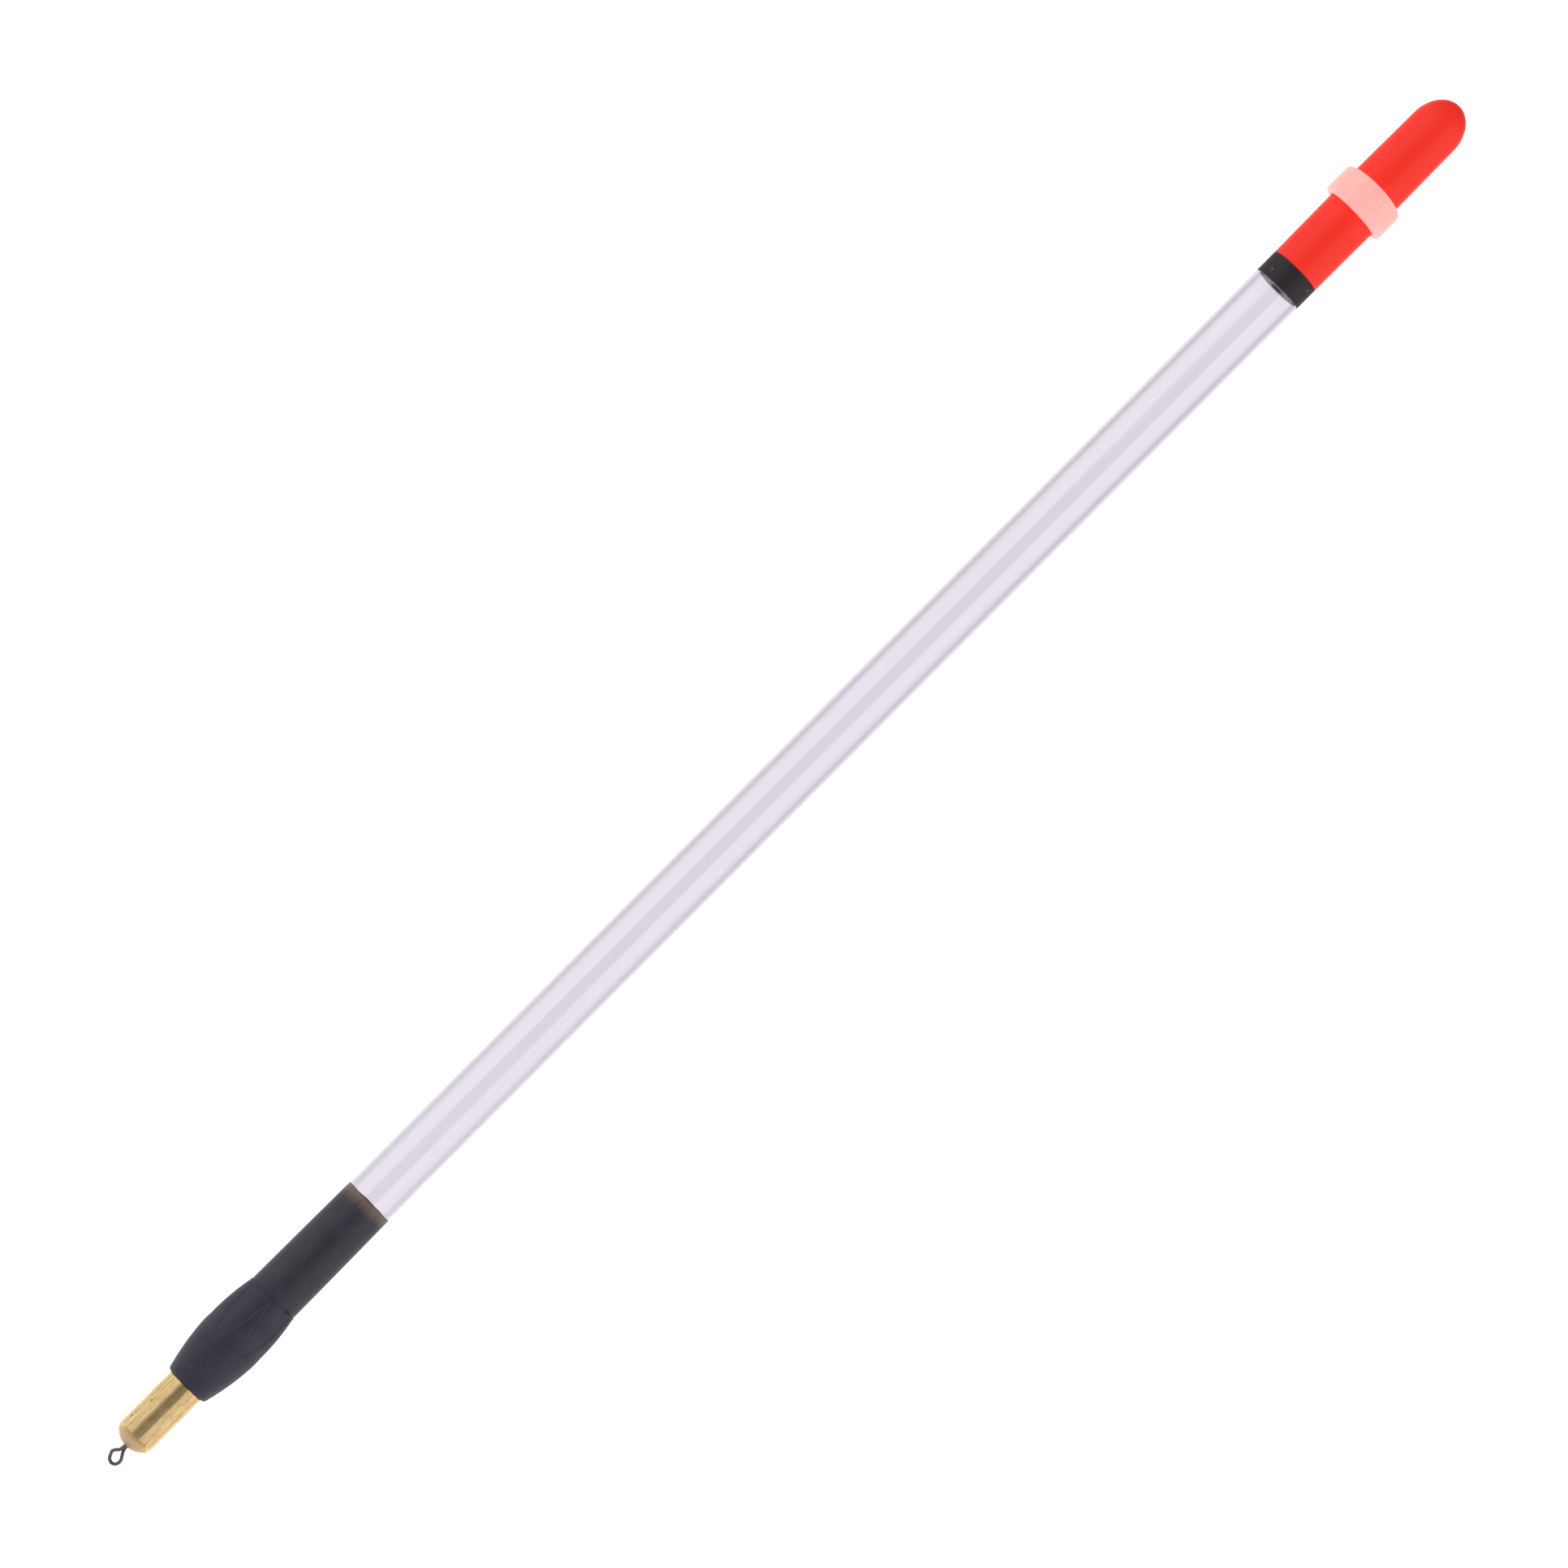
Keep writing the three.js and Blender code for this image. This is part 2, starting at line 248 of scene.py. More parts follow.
COLOUR = {"data_type": "RGBA"}  # settings of a Mix node that mixes colours
FACTOR, FIRST, SECOND, MIXED = 0, 6, 7, 2  # its sockets

# %% [markdown]
# ### Drawn stainless wire
# Spring-hard wire pulled through a die: grey, a little warm, with hair-fine lines along its length. It
# shows as dark metal with bright edges because it mirrors the whole room in half a millimetre.

# %% Wire finish
drawn_steel, tree, shader, place = finish("drawn_stainless_wire")
along = add(tree, "ShaderNodeMapping", {}, {"Vector": place, "Scale": (1, 1, 0.15)})
lines = add(
    tree,
    "ShaderNodeTexNoise",
    {},
    {"Vector": along.outputs[0], "Scale": per(0.09), "Detail": 3.0, "Roughness": 0.6},
)
tone = add(
    tree,
    "ShaderNodeMix",
    COLOUR,
    {FACTOR: lines.outputs[0], FIRST: linear("#5E5556"), SECOND: linear("#9A8F8E")},
)
polish = add(tree, "ShaderNodeMapRange", {}, {"Value": lines.outputs[0], "To Min": 0.28, "To Max": 0.5})
relief = add(
    tree, "ShaderNodeBump", {}, {"Height": lines.outputs[0], "Strength": 0.3, "Distance": 0.006 * MM}
)
shader.inputs["Metallic"].default_value = 1.0
tree.links.new(tone.outputs[MIXED], shader.inputs["Base Color"])
tree.links.new(polish.outputs[0], shader.inputs["Roughness"])
tree.links.new(relief.outputs[0], shader.inputs["Normal"])
print("finish:", drawn_steel.name)

# %% [markdown]
# ### Turned and brushed brass
# The weight is turned from bar and then brushed lengthwise, so its highlights run up and down in soft
# stripes. Its nose was only faced off, so below the crease it is plain and duller. A few years in a
# tackle box leave it paler on the rubbed parts and browner in the scratches. The mark attribute darkens
# two small pits.


# %% Brass finish
BRUSHED_FROM = 3.4  # height of the crease, where the brushing starts
PIT_BROWN = "#2E2010"
NOSE_BRASS = "#EAC8A0"
OLD_BRASS = "#B98F55"


def brass_finish(name, pale, deep, with_pits):
    """Brass between a pale and a deep tone, brushed along the float."""
    material, tree, shader, place = finish(name)
    along = add(tree, "ShaderNodeMapping", {}, {"Vector": place, "Scale": (1, 1, 0.03)})
    brushing = add(
        tree,
        "ShaderNodeTexNoise",
        {},
        {"Vector": along.outputs[0], "Scale": per(0.11), "Detail": 4.0, "Roughness": 0.65},
    )
    around = add(tree, "ShaderNodeMapping", {}, {"Vector": place, "Scale": (0.08, 0.08, 1)})
    turning = add(
        tree, "ShaderNodeTexNoise", {}, {"Vector": around.outputs[0], "Scale": per(0.2), "Detail": 2.0}
    )
    handling = add(tree, "ShaderNodeTexNoise", {}, {"Vector": place, "Scale": per(1.8), "Detail": 3.0})
    worn = add(
        tree,
        "ShaderNodeMapRange",
        {},
        {"Value": brushing.outputs[0], "From Min": 0.36, "From Max": 0.62, "To Min": 0.0, "To Max": 1.0},
    )
    tone = add(
        tree, "ShaderNodeMix", COLOUR, {FACTOR: worn.outputs[0], FIRST: linear(deep), SECOND: linear(pale)}
    )
    patina = add(
        tree,
        "ShaderNodeMapRange",
        {},
        {"Value": handling.outputs[0], "From Min": 0.45, "From Max": 0.75, "To Min": 0.0, "To Max": 0.35},
    )
    aged = add(
        tree,
        "ShaderNodeMix",
        COLOUR,
        {FACTOR: patina.outputs[0], FIRST: tone.outputs[MIXED], SECOND: linear(OLD_BRASS)},
    )
    polish = add(
        tree, "ShaderNodeMapRange", {}, {"Value": brushing.outputs[0], "To Min": 0.12, "To Max": 0.34}
    )
    fine = add(
        tree, "ShaderNodeBump", {}, {"Height": brushing.outputs[0], "Strength": 0.5, "Distance": 0.01 * MM}
    )
    relief = add(
        tree,
        "ShaderNodeBump",
        {},
        {
            "Height": turning.outputs[0],
            "Normal": fine.outputs[0],
            "Strength": 0.15,
            "Distance": 0.008 * MM,
        },
    )
    height = add(tree, "ShaderNodeSeparateXYZ", {}, {"Vector": place})
    brushed = add(
        tree,
        "ShaderNodeMapRange",
        {},
        {"Value": height.outputs["Z"], "From Min": BRUSHED_FROM * MM, "From Max": (BRUSHED_FROM + 0.06) * MM},
    )
    body = add(
        tree,
        "ShaderNodeMix",
        COLOUR,
        {FACTOR: brushed.outputs[0], FIRST: linear(NOSE_BRASS), SECOND: aged.outputs[MIXED]},
    )
    gloss = add(
        tree, "ShaderNodeMix", {}, {"Factor": brushed.outputs[0], "A": 0.5, "B": polish.outputs[0]}
    )
    colour = body
    if with_pits:
        pit = add(tree, "ShaderNodeAttribute", {"attribute_name": "mark"})
        colour = add(
            tree,
            "ShaderNodeMix",
            COLOUR,
            {FACTOR: pit.outputs["Fac"], FIRST: body.outputs[MIXED], SECOND: linear(PIT_BROWN)},
        )
    shader.inputs["Metallic"].default_value = 1.0
    tree.links.new(colour.outputs[MIXED], shader.inputs["Base Color"])
    tree.links.new(gloss.outputs[0], shader.inputs["Roughness"])
    tree.links.new(relief.outputs[0], shader.inputs["Normal"])
    print("finish:", name)
    return material


turned_brass = brass_finish("turned_brushed_brass", "#FFE6B2", "#DDB066", True)
barrel_brass = brass_finish("plated_barrel_brass", "#B9AC92", "#8F8264", False)

# %% [markdown]
# ### Soft moulded rubber and satin sleeve
# The bulb is a soft, blue-black rubber with a fine grain from its mould, and it greys a little where
# fingers rub it. The sleeve is harder and a little smoother. At its top its wall thins away, so the
# black turns to a thin brown over the tube. Both use the same tree: mark 1 paints near-black shade into
# the notch and the gap along the rim, and the sleeve's height drives the brown edge.


# %% Rubber and sleeve finish
def dark_finish(name, deep, worn, grain_mm, least_rough, most_rough, edge=None):
    """A dark matte finish with grain, rubbed patches and pale dust specks. edge is (bottom, top) of the
    thinning lip, in millimetres, or None."""
    material, tree, shader, place = finish(name)
    grain = add(
        tree,
        "ShaderNodeTexNoise",
        {},
        {"Vector": place, "Scale": per(grain_mm), "Detail": 3.0, "Roughness": 0.7},
    )
    rubbing = add(tree, "ShaderNodeTexNoise", {}, {"Vector": place, "Scale": per(2.6), "Detail": 4.0})
    rubbed = add(
        tree,
        "ShaderNodeMapRange",
        {},
        {"Value": rubbing.outputs[0], "From Min": 0.35, "From Max": 0.7, "To Min": 0.0, "To Max": 0.6},
    )
    base = add(
        tree, "ShaderNodeMix", COLOUR, {FACTOR: rubbed.outputs[0], FIRST: linear(deep), SECOND: linear(worn)}
    )
    mottle = add(
        tree,
        "ShaderNodeMapRange",
        {},
        {"Value": grain.outputs[0], "From Min": 0.3, "From Max": 0.75, "To Min": 0.0, "To Max": 0.6},
    )
    speckled = add(
        tree,
        "ShaderNodeMix",
        COLOUR,
        {FACTOR: mottle.outputs[0], FIRST: base.outputs[MIXED], SECOND: linear(worn)},
    )
    dust = add(tree, "ShaderNodeTexNoise", {}, {"Vector": place, "Scale": per(0.55), "Detail": 1.0})
    specks = add(
        tree,
        "ShaderNodeMapRange",
        {},
        {"Value": dust.outputs[0], "From Min": 0.75, "From Max": 0.78, "To Min": 0.0, "To Max": 0.25},
    )
    dusty = add(
        tree,
        "ShaderNodeMix",
        COLOUR,
        {FACTOR: specks.outputs[0], FIRST: speckled.outputs[MIXED], SECOND: linear("#9C98A2")},
    )
    colour = dusty
    if edge is not None:
        height = add(tree, "ShaderNodeSeparateXYZ", {}, {"Vector": place})
        along = add(tree, "ShaderNodeMapping", {}, {"Vector": place, "Scale": (1, 1, 0.05)})
        fibres = add(
            tree, "ShaderNodeTexNoise", {}, {"Vector": along.outputs[0], "Scale": per(0.3), "Detail": 3.0}
        )
        ragged = add(
            tree,
            "ShaderNodeMath",
            {"operation": "MULTIPLY_ADD"},
            {0: fibres.outputs[0], 1: 1.6 * MM, 2: height.outputs["Z"]},
        )
        thin = add(
            tree,
            "ShaderNodeMapRange",
            {"interpolation_type": "SMOOTHSTEP"},
            {"Value": ragged.outputs[0], "From Min": edge[0] * MM, "From Max": edge[1] * MM},
        )
        colour = add(
            tree,
            "ShaderNodeMix",
            COLOUR,
            {FACTOR: thin.outputs[0], FIRST: dusty.outputs[MIXED], SECOND: linear("#8A7562")},
        )
    # Painted shade: where mark is 1 the colour turns near-black, as if the notch and the gap along the rim
    # lay in shadow.
    mark = add(tree, "ShaderNodeAttribute", {"attribute_name": "mark"})
    painted_gap_shade = add(
        tree,
        "ShaderNodeMix",
        COLOUR,
        {FACTOR: mark.outputs["Fac"], FIRST: colour.outputs[MIXED], SECOND: linear("#08070A")},
    )
    polish = add(
        tree,
        "ShaderNodeMapRange",
        {},
        {"Value": grain.outputs[0], "To Min": least_rough, "To Max": most_rough},
    )
    relief = add(
        tree, "ShaderNodeBump", {}, {"Height": grain.outputs[0], "Strength": 0.5, "Distance": 0.02 * MM}
    )
    shader.inputs["Specular IOR Level"].default_value = 0.55
    tree.links.new(painted_gap_shade.outputs[MIXED], shader.inputs["Base Color"])
    tree.links.new(polish.outputs[0], shader.inputs["Roughness"])
    tree.links.new(relief.outputs[0], shader.inputs["Normal"])
    print("finish:", name)
    return material


EDGE_THINS_FROM = SLEEVE_TOP - 1.6
bulb_rubber = dark_finish("moulded_soft_rubber", "#2F2C3B", "#444253", 0.22, 0.42, 0.7)
sleeve_satin = dark_finish(
    "satin_soft_sleeve", "#2E2C37", "#41404D", 0.26, 0.4, 0.62, (EDGE_THINS_FROM, SLEEVE_TOP + 0.6)
)

# %% [markdown]
# ### Clear extruded plastic
# The body is a thin-walled tube with a faint lilac cast. All that shows of it is a slight greying of
# what is behind, bright streaks of the lamps, and hair-fine lines from the extruder. Painting it pale
# would be simpler, but light passes and bends through a modelled wall, so both of its surfaces are here.

# %% Clear tube finish
clear_plastic, tree, shader, place = finish("clear_extruded_plastic")
along = add(tree, "ShaderNodeMapping", {}, {"Vector": place, "Scale": (1, 1, 0.01)})
draw_lines = add(
    tree, "ShaderNodeTexNoise", {}, {"Vector": along.outputs[0], "Scale": per(0.5), "Detail": 3.0}
)
tint = add(
    tree,
    "ShaderNodeMix",
    COLOUR,
    {FACTOR: draw_lines.outputs[0], FIRST: linear("#E7E3EB"), SECOND: linear("#EFECF2")},
)
polish = add(
    tree, "ShaderNodeMapRange", {}, {"Value": draw_lines.outputs[0], "To Min": 0.01, "To Max": 0.05}
)
relief = add(
    tree, "ShaderNodeBump", {}, {"Height": draw_lines.outputs[0], "Strength": 0.08, "Distance": 0.01 * MM}
)
shader.inputs["Transmission Weight"].default_value = 1.0
shader.inputs["IOR"].default_value = 1.49
tree.links.new(tint.outputs[MIXED], shader.inputs["Base Color"])
tree.links.new(polish.outputs[0], shader.inputs["Roughness"])
tree.links.new(relief.outputs[0], shader.inputs["Normal"])
print("finish:", clear_plastic.name)

# %% [markdown]
# ### Moulded plug and black film
# The plugs are dark brown-grey moulded plastic. The band is a matte black film or paint, level with the
# tube, with two tiny chips where the tube shows through. Mark 1 turns the surface pale: a chip in the
# band, or painted light on the top plug's underside, where the backdrop lights it from below.


# %% Plug and band finish
def plain_dark_finish(name, deep, pale, grain_mm, rough, marked):
    """A dark plastic with a faint cloudy tone and grain; if it is marked, mark 1 is pale."""
    material, tree, shader, place = finish(name)
    grain = add(tree, "ShaderNodeTexNoise", {}, {"Vector": place, "Scale": per(grain_mm), "Detail": 3.0})
    tone = add(
        tree, "ShaderNodeMix", COLOUR, {FACTOR: grain.outputs[0], FIRST: linear(deep), SECOND: linear(pale)}
    )
    colour = tone
    # Mark 1 is pale: a real chip on the band, and painted light on the top plug's underside.
    if marked:
        mark = add(tree, "ShaderNodeAttribute", {"attribute_name": "mark"})
        colour = add(
            tree,
            "ShaderNodeMix",
            COLOUR,
            {FACTOR: mark.outputs["Fac"], FIRST: tone.outputs[MIXED], SECOND: linear("#B9AFB4")},
        )
    polish = add(
        tree,
        "ShaderNodeMapRange",
        {},
        {"Value": grain.outputs[0], "To Min": rough - 0.1, "To Max": rough + 0.12},
    )
    relief = add(
        tree, "ShaderNodeBump", {}, {"Height": grain.outputs[0], "Strength": 0.3, "Distance": 0.01 * MM}
    )
    shader.inputs["Specular IOR Level"].default_value = 0.38
    tree.links.new(colour.outputs[MIXED], shader.inputs["Base Color"])
    tree.links.new(polish.outputs[0], shader.inputs["Roughness"])
    tree.links.new(relief.outputs[0], shader.inputs["Normal"])
    print("finish:", name)
    return material


plug_plastic = plain_dark_finish("moulded_plug_plastic", "#3A312D", "#57493F", 0.35, 0.5, False)
# Painted light: mark 1 paints the top plug's underside pale, for the backdrop's light falling on it from
# below.
plug_painted_light = plain_dark_finish("plug_plastic_painted_light", "#3A2A22", "#4A382E", 0.35, 0.5, True)
black_film = plain_dark_finish("matte_black_film", "#261D23", "#392F36", 0.3, 0.55, True)

# %% [markdown]
# ### Fluorescent red plastic
# The tip has to be seen at thirty metres, so its plastic holds a daylight-fluorescent dye: it gives back
# more red than falls on it. A little emission stands in for that, and part of it is painted light that
# lifts the tip where the lamps leave it dim. The surface is satin, with a fine sprayed grain and
# slightly paler rubbed patches.

# %% Tip finish
red_plastic, tree, shader, place = finish("fluorescent_red_plastic")
grain = add(tree, "ShaderNodeTexNoise", {}, {"Vector": place, "Scale": per(0.2), "Detail": 3.0})
clouds = add(tree, "ShaderNodeTexNoise", {}, {"Vector": place, "Scale": per(4.0), "Detail": 3.0})
tone = add(
    tree,
    "ShaderNodeMix",
    COLOUR,
    {FACTOR: clouds.outputs[0], FIRST: linear("#F0281C"), SECOND: linear("#F83426")},
)
mottle = add(tree, "ShaderNodeMapRange", {}, {"Value": grain.outputs[0], "To Min": 0.0, "To Max": 0.3})
mottled = add(
    tree,
    "ShaderNodeMix",
    COLOUR,
    {FACTOR: mottle.outputs[0], FIRST: tone.outputs[MIXED], SECOND: linear("#FF4030")},
)
polish = add(tree, "ShaderNodeMapRange", {}, {"Value": grain.outputs[0], "To Min": 0.38, "To Max": 0.56})
relief = add(
    tree, "ShaderNodeBump", {}, {"Height": grain.outputs[0], "Strength": 0.35, "Distance": 0.012 * MM}
)
shader.inputs["Specular IOR Level"].default_value = 0.3
# Emission: partly the dye's fluorescence, partly painted light that lifts the tip where the lamps leave it
# dim.
shader.inputs["Emission Color"].default_value = linear("#FF3020")
shader.inputs["Emission Strength"].default_value = 0.36
tree.links.new(mottled.outputs[MIXED], shader.inputs["Base Color"])
tree.links.new(polish.outputs[0], shader.inputs["Roughness"])
tree.links.new(relief.outputs[0], shader.inputs["Normal"])
print("finish:", red_plastic.name)

# %% [markdown]
# ### Translucent silicone
# The ring is milky silicone, and the red behind it tints it pink. Light enters the rubber and comes out
# a millimetre or so away, which is what subsurface scattering does, and a thin sheen whitens its edges.
# A little pink emission is painted light that lifts its shaded side; the ring is no lamp.

# %% Silicone finish
silicone, tree, shader, place = finish("milky_silicone")
grain = add(tree, "ShaderNodeTexNoise", {}, {"Vector": place, "Scale": per(0.25), "Detail": 2.0})
clouds = add(tree, "ShaderNodeTexNoise", {}, {"Vector": place, "Scale": per(2.2), "Detail": 3.0})
tone = add(
    tree,
    "ShaderNodeMix",
    COLOUR,
    {FACTOR: clouds.outputs[0], FIRST: linear("#FFB4AC"), SECOND: linear("#FFC8C0")},
)
polish = add(tree, "ShaderNodeMapRange", {}, {"Value": grain.outputs[0], "To Min": 0.32, "To Max": 0.5})
relief = add(
    tree, "ShaderNodeBump", {}, {"Height": grain.outputs[0], "Strength": 0.3, "Distance": 0.012 * MM}
)
shader.inputs["IOR"].default_value = 1.41
shader.inputs["Subsurface Weight"].default_value = 0.6
shader.inputs["Subsurface Radius"].default_value = (1.0, 0.45, 0.4)
shader.inputs["Subsurface Scale"].default_value = 0.8 * MM
# Painted light: pink emission lifts the ring's shaded side.
shader.inputs["Emission Color"].default_value = (1.0, 0.46, 0.42, 1.0)
shader.inputs["Emission Strength"].default_value = 0.4
shader.inputs["Sheen Weight"].default_value = 0.2
shader.inputs["Sheen Roughness"].default_value = 0.4
tree.links.new(tone.outputs[MIXED], shader.inputs["Base Color"])
tree.links.new(polish.outputs[0], shader.inputs["Roughness"])
tree.links.new(relief.outputs[0], shader.inputs["Normal"])
print("finish:", silicone.name)

# %% [markdown]
# ## The line eye
# Half-millimetre wire bent into a small eye, its two strands side by side up into the brass. A curve
# object with a bevel would be quicker, but a swept array keeps the strands exactly where the frame has
# them: the same few points, with smooth cubic pieces between them.

# %% Wire eye
WIRE_RADIUS = 0.26
STRAND_X = 0.16
STRAND_Y = 0.19
SHANK_TOP = 5.4
EYE_POINTS = [
    (STRAND_X, STRAND_Y, SHANK_TOP),
    (STRAND_X, STRAND_Y, 3.4),
    (STRAND_X, STRAND_Y, 1.7),
    (0.34, 0.15, 1.12),
    (0.68, 0.08, 0.58),
    (0.94, 0.03, 0.1),
    (0.97, 0, -0.28),
    (0.74, 0, -0.86),
    (0.14, 0, -1.1),
    (-0.42, 0, -0.82),
    (-0.7, 0, -0.35),
    (-0.89, -0.03, 0.18),
    (-0.66, -0.08, 0.66),
    (-0.3, -0.15, 1.06),
    (-STRAND_X, -STRAND_Y, 1.7),
    (-STRAND_X, -STRAND_Y, 3.4),
    (-STRAND_X, -STRAND_Y, SHANK_TOP),
]


def smooth_path(points, count):
    """A curve through the points by length: cubic pieces whose slope at a point is that of the parabola
    through it and its two neighbours."""
    points = np.array(points, float)
    length = np.concatenate([[0], np.cumsum(np.linalg.norm(np.diff(points, axis=0), axis=1))])
    slope = np.gradient(points, length, axis=0)
    where = np.linspace(0, length[-1], count)
    i = np.clip(np.searchsorted(length, where, side="right") - 1, 0, len(points) - 2)
    gap = (length[i + 1] - length[i])[:, None]
    t = (where - length[i])[:, None] / gap
    leaving = (2 * t**3 - 3 * t**2 + 1) * points[i] + (t**3 - 2 * t**2 + t) * gap * slope[i]
    arriving = (3 * t**2 - 2 * t**3) * points[i + 1] + (t**3 - t**2) * gap * slope[i + 1]
    return leaving + arriving


def swept(path, radius, around):
    """Point p of the path with tangent T, at angle b, is p + r (cos b S + sin b T x S), where S is
    across both T and the Y axis, which the wire never runs along."""
    tangent = np.gradient(path, axis=0)
    tangent /= np.linalg.norm(tangent, axis=1)[:, None]
    side = np.cross(tangent, [0.0, 1.0, 0.0])
    side /= np.linalg.norm(side, axis=1)[:, None]
    across = np.cross(tangent, side)
    angle = (np.arange(around) * 2 * np.pi / around)[None, :, None]
    rings = path[:, None] + radius * (np.cos(angle) * side[:, None] + np.sin(angle) * across[:, None])
    return skin(rings, path[[0, -1]])


eye_wire = make_piece("eye_wire", swept(smooth_path(EYE_POINTS, 260), WIRE_RADIUS, 24))
settle(eye_wire, drawn_steel, "eye", "steel_wire", "line_eye")

# %% [markdown]
# The head that keeps the wire in its barrel is a small upset disc. Nobody sees it, but it turns with the
# eye, so it belongs there.

# %% Wire head
HEAD_BOTTOM = 5.2
HEAD_TOP = 5.8
HEAD_RADIUS = 0.8
HEAD_FLAT = 0.3
CORNER_POINTS = 6  # the points that rounded() puts on one corner
head_corners = rounded(
    [
        (HEAD_FLAT, HEAD_BOTTOM, 0.02),
        (HEAD_RADIUS, HEAD_BOTTOM, 0.05),
        (HEAD_RADIUS, HEAD_TOP, 0.2),
        (HEAD_FLAT, HEAD_TOP, 0.02),
    ]
)
head_outline = np.vstack([[[0, HEAD_BOTTOM]], head_corners[:-CORNER_POINTS], [[0, HEAD_TOP]]])
eye_head = make_piece("eye_head", turned(head_outline, 48))
settle(eye_head, drawn_steel, "eye", "steel_wire")

# %% [markdown]
# ## The brass weight
# Its nose is part of a sphere and then a short cone, and it meets the slightly drawn-in shoulder in a
# crease, as a turning tool leaves it. Above the shoulder it is a plain cylinder that ends just short of
# the bulb. The spigot and bore inside follow the frame.

# %% Brass weight
HOLE_RADIUS = 0.6
NOSE_SPHERE = 3.37
NOSE_CONE = 2.3  # the nose leaves its sphere here and runs straight to the crease
CREASE_RADIUS = 2.83
CREASE_HEIGHT = 3.44
CREASE_STEP_IN = 0.02
CREASE_STEP_DOWN = 0.022
SHOULDER_TOP = 4.15
SPIGOT_RADIUS = 2.0
BORE_RADIUS = 1.2
BORE_BOTTOM = 4.4
SHELF = BULB_BOTTOM - 0.05
PITS = [(-42.6, 9.35, 0.16), (-56.4, 6.0, 0.13)]  # azimuth, height and size of each pit
PIT_DEPTH = 0.05


def angle_at(radius, sphere):
    """The angle below the horizontal at which an arc has this distance from its centre line."""
    return -math.degrees(math.acos(radius / sphere))


def pit_depth(degrees, height, radius):
    """1 in the middle of a pit, falling off as a bell with distance over the surface."""
    depth = np.zeros(np.broadcast(degrees, height).shape)
    for azimuth, level, size in PITS:
        aside = np.radians(degrees - azimuth) * radius
        depth = depth + np.exp(-(aside**2 + (height - level) ** 2) / size**2)
    return np.where(radius > SPIGOT_RADIUS + 0.5, depth, 0)


def brass_relief(azimuth, height, radius):
    """The pits go PIT_DEPTH into the surface."""
    degrees = (np.degrees(azimuth) + 180) % 360 - 180
    return radius - PIT_DEPTH * pit_depth(degrees, height, radius), height


shoulder = np.linspace(0, 1, 14)
shoulder_radii = BRASS_RADIUS - (BRASS_RADIUS - CREASE_RADIUS) * (1 - shoulder) ** 2
shoulder_heights = CREASE_HEIGHT + (SHOULDER_TOP - CREASE_HEIGHT) * shoulder
brass_inside = rounded(
    [
        (BRASS_RADIUS, SHELF, 0.08),
        (SPIGOT_RADIUS, SHELF, 0.05),
        (SPIGOT_RADIUS, SPIGOT_TOP, 0.15),
        (BORE_RADIUS, SPIGOT_TOP, 0.05),
        (BORE_RADIUS, BORE_BOTTOM, 0.05),
        (HOLE_RADIUS, BORE_BOTTOM, 0.05),
        (HOLE_RADIUS, BRASS_BOTTOM + 0.1, 0.04),
    ],
    3,
)
brass_outline = np.vstack(
    [
        arc(
            0,
            BRASS_BOTTOM + NOSE_SPHERE,
            NOSE_SPHERE,
            angle_at(HOLE_RADIUS + 0.05, NOSE_SPHERE),
            angle_at(NOSE_CONE, NOSE_SPHERE),
            24,
        ),
        [(CREASE_RADIUS - CREASE_STEP_IN, CREASE_HEIGHT - CREASE_STEP_DOWN)],
        np.column_stack([shoulder_radii, shoulder_heights]),
        brass_inside,
    ]
)
brass_weight = make_piece("weight_brass", turned(stepped(brass_outline, 0.16), 200, brass_relief))
add_mark(brass_weight, pit_depth)
settle(brass_weight, turned_brass, "float_body", "turned_brass", "brass_weight")

# %% [markdown]
# ## The bulb
# A soft moulded holder grips the tube and the weight. Six long pointed leaves stand up round it, a tenth
# of a millimetre proud of the hollows between them, and fainter lines run on below. A hollow is worked
# out from its half width at each height, so the relief is one formula for all six: how far a point lies
# inside the nearest hollow's edge, in millimetres over the surface.

# %% Bulb relief
LEAVES = 6
HOLLOW_AZIMUTH = -27.0  # middle of one hollow, in degrees
HOLLOW_HEIGHTS = [22.0, 22.9, 23.1, 24.2, 25.8, 27.5, 29.0, 31.2, 32.2]
HOLLOW_HALF_WIDTHS = [-9.0, 0.0, 6.0, 12.0, 17.0, 21.0, 24.0, 29.0, 31.0]
HOLLOW_DEPTH = 0.1
EDGE_WIDTH = 0.16
SWEEP_LINE = ([18.3, 19.5, 20.8, 23.1], [29.0, 18.0, 5.4, 0.0])  # heights, and turns from the middle
DROP_LINE = ([14.9, 16.6, 20.0, 22.6], [-10.0, 2.0, 2.0, 0.0])
LINE_WIDTH = 0.13
NOTCH_AZIMUTH = 41.0
NOTCH_HEIGHT = BULB_RIM + 0.08


def line_across(turn, height, radius, heights, turns, width):
    """1 on a line whose turn from the hollow's middle is given at some heights, falling off as a bell;
    it fades out over its last stretch."""
    aside = (turn - np.interp(height, heights, turns)) * np.radians(radius)
    fade = smooth_step((height - heights[0]) / 0.6) * smooth_step((heights[-1] - height) / 0.4)
    return np.exp(-((aside / width) ** 2)) * fade


